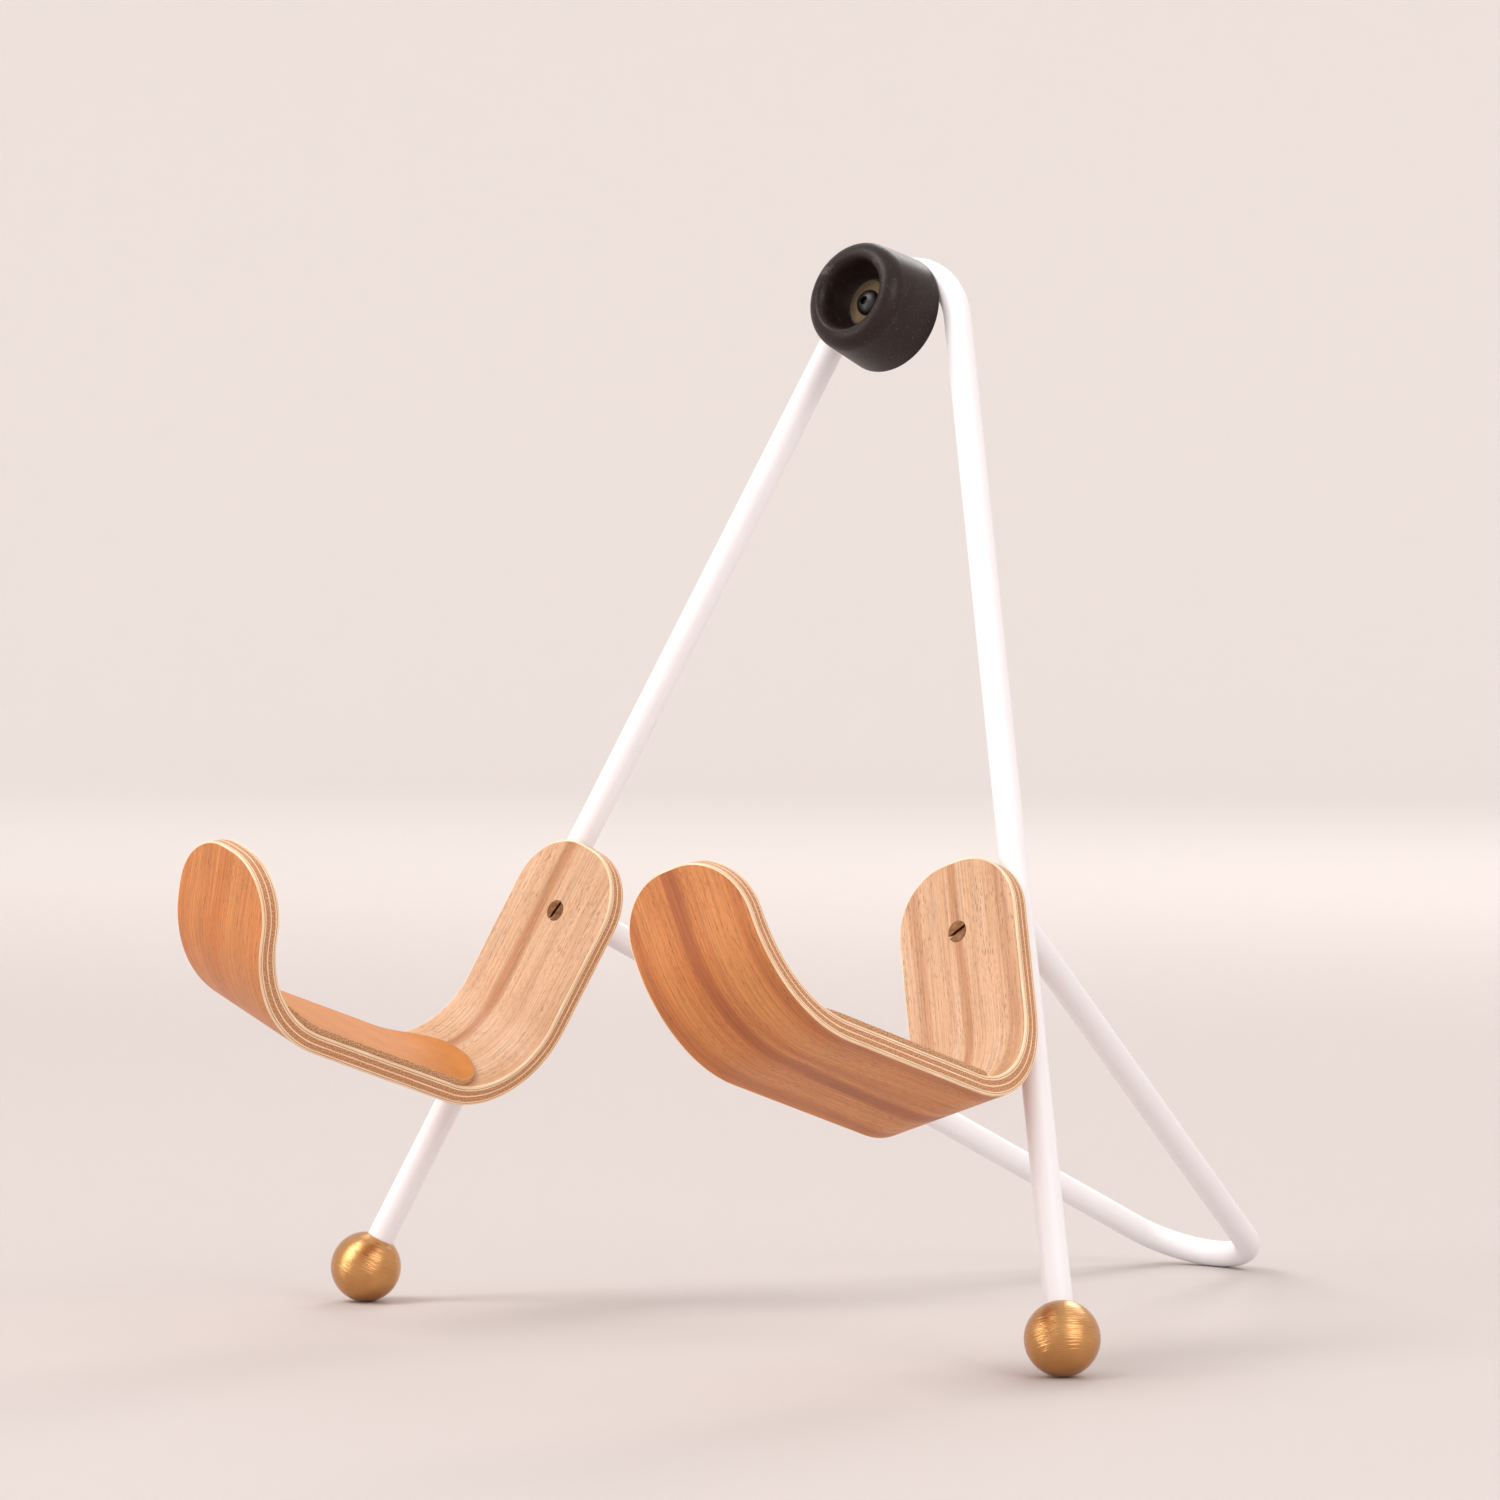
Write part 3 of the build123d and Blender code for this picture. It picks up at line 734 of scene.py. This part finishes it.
def veneerFinish(name, woods, bands):
    material, tree, shader = startMaterial(name, roughness=0.5, **{"Specular IOR Level": 0.38})
    flat = sheetCoords(tree)
    wander = noise(tree, mapped(tree, flat, (0.012, 0.03, 1)), detail=1)
    split = addNode(tree, "ShaderNodeSeparateXYZ", {"Vector": flat})
    shifted = calc(tree, "MULTIPLY_ADD", wander, 9.0, split.outputs["Y"])
    share = calc(tree, "MULTIPLY_ADD", shifted, mm / ply["width"], 0.5 - 4.5 * mm / ply["width"])
    dark = None
    for centre, half, strength in bands:
        away = calc(tree, "ABSOLUTE", calc(tree, "SUBTRACT", share, centre))
        inputs = {"Value": away, "From Min": half * 1.5, "From Max": half * 0.35, "To Max": strength}
        edge = addNode(tree, "ShaderNodeMapRange", inputs, interpolation_type="SMOOTHSTEP")
        dark = calc(tree, "MAXIMUM", dark, edge.outputs[0]) if dark else edge.outputs[0]
    broad = noise(tree, mapped(tree, flat, (0.006, 0.12, 1)), detail=2)
    fine = noise(tree, mapped(tree, flat, (0.03, 1.5, 1)), detail=3, rough=0.6)
    base = mixColour(tree, ramp(tree, broad, [(0.3, 0.0), (0.7, 1.0)]), woods[0], woods[1])
    base = mixColour(tree, dark, base, woods[2])
    lines = ramp(tree, fine, [(0.35, 0.78), (0.62, 1.08)])
    base = mixColour(tree, 1.0, base, lines, "MULTIPLY")
    pores = None
    for length, width, amount in ((0.20, 2.0, 0.30), (0.34, 3.2, 0.26)):
        stretched = mapped(tree, flat, (length, width, 1))
        cell = addNode(tree, "ShaderNodeTexVoronoi", {"Vector": stretched, "Scale": 1.0})
        dash = ramp(tree, cell.outputs["Distance"], [(amount * 0.55, 1.0), (amount, 0.0)])
        pores = calc(tree, "MAXIMUM", pores, dash) if pores else dash
    patches = noise(tree, mapped(tree, flat, (0.02, 0.25, 1)), detail=2)
    pores = calc(tree, "MULTIPLY", pores, ramp(tree, patches, [(0.35, 0.35), (0.65, 1.0)]))
    tint = calc(tree, "MULTIPLY", pores, veneer["poreDepth"])
    setColour(tree, shader, mixColour(tree, tint, base, veneer["pore"]))
    setRoughness(tree, shader, fine, 0.34, 0.5)
    height = calc(tree, "SUBTRACT", 1.0, pores)
    setBump(tree, shader, [(fine, 0.12, 0.0001), (height, 0.4, 0.00014)])
    return material


def layerMask(tree, share, wanted):
    # 1 inside the layers of one kind and 0 elsewhere
    stops, line, blur = [], 0.0, 0.05
    for kind, thick in plyLayers:
        shade = 1.0 if kind == wanted else 0.0
        stops.append((max(line + blur, 0.0) * mm / ply["thickness"], shade))
        line += thick
        stops.append(((line - blur) * mm / ply["thickness"], shade))
    return ramp(tree, share, stops)


def plyEdgeFinish():
    material, tree, shader = startMaterial("plyEdge", roughness=0.6)
    flat = sheetCoords(tree)
    wobble = noise(tree, mapped(tree, flat, (0.05, 0.3, 1)), detail=2)
    depth = addNode(tree, "ShaderNodeSeparateXYZ", {"Vector": flat}).outputs["Y"]
    depth = calc(tree, "MULTIPLY_ADD", wobble, 0.16, depth)
    share = calc(tree, "MULTIPLY_ADD", depth, mm / ply["thickness"], -0.08 * mm / ply["thickness"])
    speckle = noise(tree, mapped(tree, flat, (1.5, 2.2, 1)), detail=3, rough=0.75)
    ends = ramp(tree, speckle, [(0.36, (0.26, 0.095, 0.04)), (0.46, (0.47, 0.20, 0.085)),
                                (0.56, (0.62, 0.31, 0.145)), (0.68, (0.80, 0.50, 0.28))])
    longs = noise(tree, mapped(tree, flat, (0.08, 2.0, 1)), detail=2)
    pale = ramp(tree, longs, [(0.3, (0.80, 0.53, 0.31)), (0.7, (0.95, 0.76, 0.54))])
    colour = mixColour(tree, layerMask(tree, share, "cross"), pale, ends)
    colour = mixColour(tree, layerMask(tree, share, "glue"), colour, (0.27, 0.10, 0.042))
    setColour(tree, shader, colour)
    setRoughness(tree, shader, speckle, 0.5, 0.75)
    setBump(tree, shader, [(speckle, 0.35, 0.00012)])
    return material


plyEdge = plyEdgeFinish()
screwHole = dict(shank=2.05 * mm, head=3.85 * mm, rim=0.25 * mm, segments=64, overrun=1.0 * mm)


def cutScrewHole(piece, name):
    # countersunk hole through the back plate
    front = ply["behind"] + ply["thickness"]
    coneStart = front - screwHole["rim"] - (screwHole["head"] - screwHole["shank"])
    profile = [
        (screwHole["shank"], ply["behind"] - screwHole["overrun"]),
        (screwHole["shank"], coneStart),
        (screwHole["head"], front - screwHole["rim"]),
        (screwHole["head"], front + screwHole["overrun"]),
    ]
    drill = bpy.data.objects.new(
        "drill", skinRings("drill", turnedRings(profile, screwHole["segments"]), pivotAxes[name]))
    drill.data.materials.append(plyEdge)
    bpy.context.scene.collection.objects.link(drill)
    cut = piece.modifiers.new("screwHole", "BOOLEAN")
    cut.operation, cut.object, cut.solver = "DIFFERENCE", drill, "EXACT"
    cut.material_mode = "TRANSFER"
    soft = piece.modifiers.new("evenShade", "WEIGHTED_NORMAL")
    soft.keep_sharp = True
    bpy.context.view_layer.update()
    mesh = bpy.data.meshes.new_from_object(piece.evaluated_get(bpy.context.evaluated_depsgraph_get()))
    piece.modifiers.clear()
    piece.data = mesh
    bpy.data.objects.remove(drill)


for name in sides:
    mesh = stripSolid(f"{name}Cradle", pivotAxes[name], 0.0, stripLength, ply["width"], ply["cornerRadius"],
                      plyLevels(), ply["columns"], ply["cornerSteps"], (0.0, 0.7))
    faces = [veneerFinish(f"{name}OuterVeneer", veneer["outer"], streaks[f"{name}Outer"]),
             veneerFinish(f"{name}InnerVeneer", veneer["inner"], streaks[f"{name}Inner"])]
    piece = addPiece(f"{name}Cradle", mesh, [*faces, plyEdge], f"{name}_rest", [f"{name}_cradle"],
                     sharpAngle=50)
    cutScrewHole(piece, name)
print("cradles")

# pads on the cradles' floors
pad = dict(
    thickness=2.2 * mm,
    glue=0.05 * mm,
    margin=0.4 * mm,
    climb=24.0 * mm,             # along each bend
    cornerRadius=23.5 * mm,
    edgeRound=0.5 * mm,
    crown=0.12 * mm,
    columns=24,
    cornerSteps=18,
    sides=((0.0, 0.08 * mm), (0.12 * mm, 0.0), (0.9 * mm, 0.03 * mm)),   # height up its edge, and inset
)


def padLevels():
    bottom = ply["thickness"] + pad["glue"]
    top = bottom + pad["thickness"]
    roundOff = [(top - pad["edgeRound"] * (1 - math.sin(math.radians(a))),
                 pad["edgeRound"] * (1 - math.cos(math.radians(a)))) for a in (0, 22, 45, 68, 90)]
    return [(bottom + height, inset) for height, inset in pad["sides"]] + roundOff


def padFinish():
    material, tree, shader = startMaterial("tanLeather", roughness=0.65, **{"Specular IOR Level": 0.25})
    flat = sheetCoords(tree)
    cloud = noise(tree, mapped(tree, flat, (0.09, 0.09, 1)), detail=4, rough=0.6)
    colour = ramp(tree, cloud, [(0.3, (0.50, 0.175, 0.037)), (0.7, (0.60, 0.235, 0.06))])
    fleck = noise(tree, mapped(tree, flat, (1.1, 1.1, 1)), detail=2)
    flecked = ramp(tree, fleck, [(0.6, 0.0), (0.75, 0.4)])
    setColour(tree, shader, mixColour(tree, flecked, colour, (0.36, 0.12, 0.035)))
    cells = addNode(tree, "ShaderNodeTexVoronoi", {"Vector": mapped(tree, flat, (1.6, 1.6, 1)), "Scale": 1.0})
    setRoughness(tree, shader, cloud, 0.52, 0.7)
    setBump(tree, shader, [(cells.outputs["Distance"], 0.2, 0.00015), (fleck, 0.12, 0.0001)])
    return material


def padEdgeFinish():
    material, tree, shader = startMaterial("leatherEdge", roughness=0.85)
    crumb = noise(tree, mapped(tree, sheetCoords(tree), (1.5, 2.4, 1)), detail=4, rough=0.8)
    setColour(tree, shader, ramp(tree, crumb, [(0.38, (0.20, 0.075, 0.034)), (0.46, (0.44, 0.20, 0.09)),
                                               (0.53, (0.62, 0.34, 0.165)), (0.64, (0.88, 0.64, 0.40))]))
    setRoughness(tree, shader, crumb, 0.7, 0.95)
    setBump(tree, shader, [(crumb, 0.7, 0.0003)])
    return material


padTop = padFinish()
padEdge = padEdgeFinish()
floorStart = sum(stretch[0] for stretch in stretches[:2])
padSpan = (floorStart - pad["climb"], floorStart + ply["floor"] + pad["climb"])


def padCrown(station, sidewise):
    nearSide = 1 - min(abs(sidewise) / (ply["width"] / 2), 1) ** 4
    return pad["crown"] * (nearSide - 1)


for name in sides:
    mesh = stripSolid(f"{name}Pad", pivotAxes[name], *padSpan, ply["width"] - 2 * pad["margin"],
                      pad["cornerRadius"], padLevels(), pad["columns"], pad["cornerSteps"], (0.0, 0.35),
                      padCrown)
    piece = addPiece(f"{name}Pad", mesh, [padEdge, padTop, padEdge], f"{name}_rest", [f"{name}_cradle_pad"],
                     sharpAngle=60)
print("pads")

# rubber bumper
bumper = dict(
    back=4.9 * mm,
    backRadius=21.5 * mm,
    backRound=1.0 * mm,
    backRing=0.6,                # where the back face has a middle ring, as a share of its radius
    taperStart=1.2 * mm,
    taperEnd=0.6 * mm,
    frontRadius=20.2 * mm,       # where the front rim's rounding starts
    rimDepth=6.5 * mm,
    crest=14.8 * mm,
    throat=12.0 * mm,
    throatDepth=6.0 * mm,
    throatRound=0.8 * mm,
    recess=9.4 * mm,
    recessDepth=12.8 * mm,
    recessRound=0.5 * mm,
    hole=2.75 * mm,
    segments=160,
)


def bumperBody():
    b = bumper
    front = stand["bumperFront"]
    floorLevel = front - b["recessDepth"]
    rimLevel, throatLevel = front - b["rimDepth"], front - b["throatDepth"]
    profile = [(b["hole"], b["back"]), (b["backRadius"] * b["backRing"], b["back"])]
    profile += arcPoints(b["backRadius"] - b["backRound"], b["back"] + b["backRound"],
                         b["backRound"], b["backRound"], -90, 0, 8)
    taper = (b["backRadius"] - b["frontRadius"]) / (rimLevel - b["back"] - b["backRound"])
    taperLevels = (b["back"] + b["taperStart"], (b["back"] + rimLevel) / 2, rimLevel - b["taperEnd"])
    profile += [(b["frontRadius"] + taper * (rimLevel - level), level) for level in taperLevels]
    profile += arcPoints(b["crest"], rimLevel, b["frontRadius"] - b["crest"], b["rimDepth"], 0, 90, 32)
    profile += arcPoints(b["crest"], throatLevel, b["crest"] - b["throat"], b["throatDepth"], 90, 174, 22)[1:]
    slope = (b["throat"] - b["recess"]) / (throatLevel - floorLevel)
    profile += [(b["throat"] - slope * drop, throatLevel - drop)
                for drop in (b["throatRound"], 3.0 * mm, throatLevel - floorLevel - b["recessRound"])]
    profile += [(b["recess"] - b["recessRound"], floorLevel), (b["hole"], floorLevel)]
    rings = turnedRings(profile, b["segments"])
    return skinRings("bumperBody", rings, bumperAxes, around=True)


piece = addPiece("bumperBody", bumperBody(), [finishOf["bumper_rubber"]], "stand", ["bumper"], sharpAngle=50)
print("bumper")

# floor, lights and camera
stage = dict(
    flat=4.6,
    rise=2.6,
    top=3.0,
    segments=128,
    near=(0.56, 0.505, 0.485),   # colour of the floor, and of the wall that it fades to: painted light, the floor darker and the wall lighter to even out the lamps' light on them
    far=(0.92, 0.87, 0.85),
    fadeFrom=1.2,
)


def studioBowl():
    profile = [(0.0, 0.0), (0.5, 0.0), (1.5, 0.0), (stage["flat"], 0.0)]
    profile += arcPoints(stage["flat"], stage["rise"], stage["rise"], stage["rise"], -90, 0, 24)[1:]
    profile.append((stage["flat"] + stage["rise"], stage["rise"] + stage["top"]))
    mesh = skinRings("studioFloor", turnedRings(profile, stage["segments"]), caps=(False, False))
    material, tree, shader = startMaterial("studioPaper", roughness=0.95)
    # painted light: the paper is darker near the middle, where the lamps light the floor most, and lighter out to
    # the wall, which gets less light
    reach = addNode(tree, "ShaderNodeVectorMath", {0: objectCoords(tree)}, operation="LENGTH")
    inputs = {"Value": reach.outputs["Value"], "From Min": stage["fadeFrom"], "From Max": stage["flat"]}
    away = addNode(tree, "ShaderNodeMapRange", inputs, interpolation_type="SMOOTHSTEP")
    setColour(tree, shader, mixColour(tree, away.outputs[0], stage["near"], stage["far"]))
    mesh.materials.append(material)
    mesh.shade_smooth()
    floor = bpy.data.objects.new("studioFloor", mesh)
    bpy.context.scene.collection.objects.link(floor)


studioBowl()

lights = (                       # name, place, width, watts, colour
    ("keyLight", (-1.2, -2.0, 3.0), 1.6, 58, (1.0, 0.98, 0.965)),
    ("fillLight", (2.7, -0.6, 1.6), 1.6, 26, (1.0, 0.985, 0.975)),
    ("windowLight", (-1.25, -2.4, 0.6), 0.9, 14, (0.96, 0.98, 1.0)),
    ("backLight", (-1.2, 2.6, 2.2), 1.4, 30, (1.0, 0.98, 0.97)),
)
lookAt = Vector((0, 0, 0.16))
for name, place, width, watts, colour in lights:
    light = bpy.data.lights.new(name, "AREA")
    light.energy, light.size, light.color = watts, width, colour
    lamp = bpy.data.objects.new(name, light)
    lamp.location = place
    lamp.rotation_euler = (lookAt - Vector(place)).to_track_quat("-Z", "Y").to_euler()
    bpy.context.scene.collection.objects.link(lamp)

world = bpy.data.worlds.new("studioWorld")
world.use_nodes = True
world.node_tree.nodes["Background"].inputs["Color"].default_value = (1.0, 0.972, 0.96, 1)
world.node_tree.nodes["Background"].inputs["Strength"].default_value = 0.90
bpy.context.scene.world = world
bpy.context.scene.view_settings.view_transform = "Standard"

view = dict(
    place=(1.52305, -1.78859, 0.28006),
    target=(-0.02934, -0.02584, 0.20090),
    lens=159.245,
    sensor=36.0,
)
cameraData = bpy.data.cameras.new("camera")
cameraData.lens, cameraData.sensor_width = view["lens"], view["sensor"]
camera = bpy.data.objects.new("camera", cameraData)
camera.location = view["place"]
camera.rotation_euler = (Vector(view["target"]) - Vector(view["place"])).to_track_quat("-Z", "Y").to_euler()
bpy.context.scene.collection.objects.link(camera)
bpy.context.scene.camera = camera
print("stage, lights and camera")
